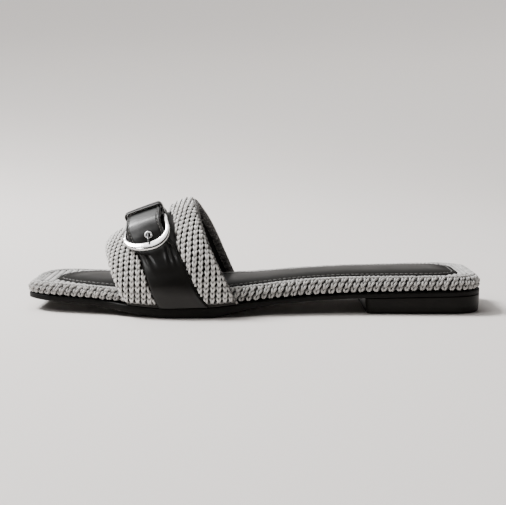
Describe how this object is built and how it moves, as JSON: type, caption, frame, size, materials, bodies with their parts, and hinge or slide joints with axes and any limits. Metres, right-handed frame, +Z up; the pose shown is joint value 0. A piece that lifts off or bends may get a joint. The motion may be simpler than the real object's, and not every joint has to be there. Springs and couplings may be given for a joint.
{
  "type": "flat slide sandal",
  "caption": "Flat slide sandal: a padded knit band over the foot, a leather strap with a D-ring buckle laid in the band, a knit-wrapped footbed, a leather insole and a low block heel.",
  "frame": {"origin": "on the floor under the middle of the sandal's bounding box", "axes": "+X from the toe to the heel, +Y towards the inner (medial) side of the foot, +Z up"},
  "size_m": [0.2528, 0.091, 0.0613],
  "materials": {
    "outsole_rubber": "matt",
    "heel_rubber": "satin",
    "pale_knit": "chunky knit",
    "insole_leather": "satin",
    "strap_leather": "smooth satin",
    "buckle_metal": "polished"
  },
  "bodies": {
    "root": {"outsole": "outsole_rubber", "heel_lift": "heel_rubber", "woven_footbed": "pale_knit", "insole": "insole_leather", "woven_upper": "pale_knit", "strap_free_end": "strap_leather", "strap_buckle_end": "strap_leather", "strap_keeper": "strap_leather", "buckle_frame": "buckle_metal", "buckle_prong": "buckle_metal", "strap_eyelet": "buckle_metal"}
  },
  "joints": []
}
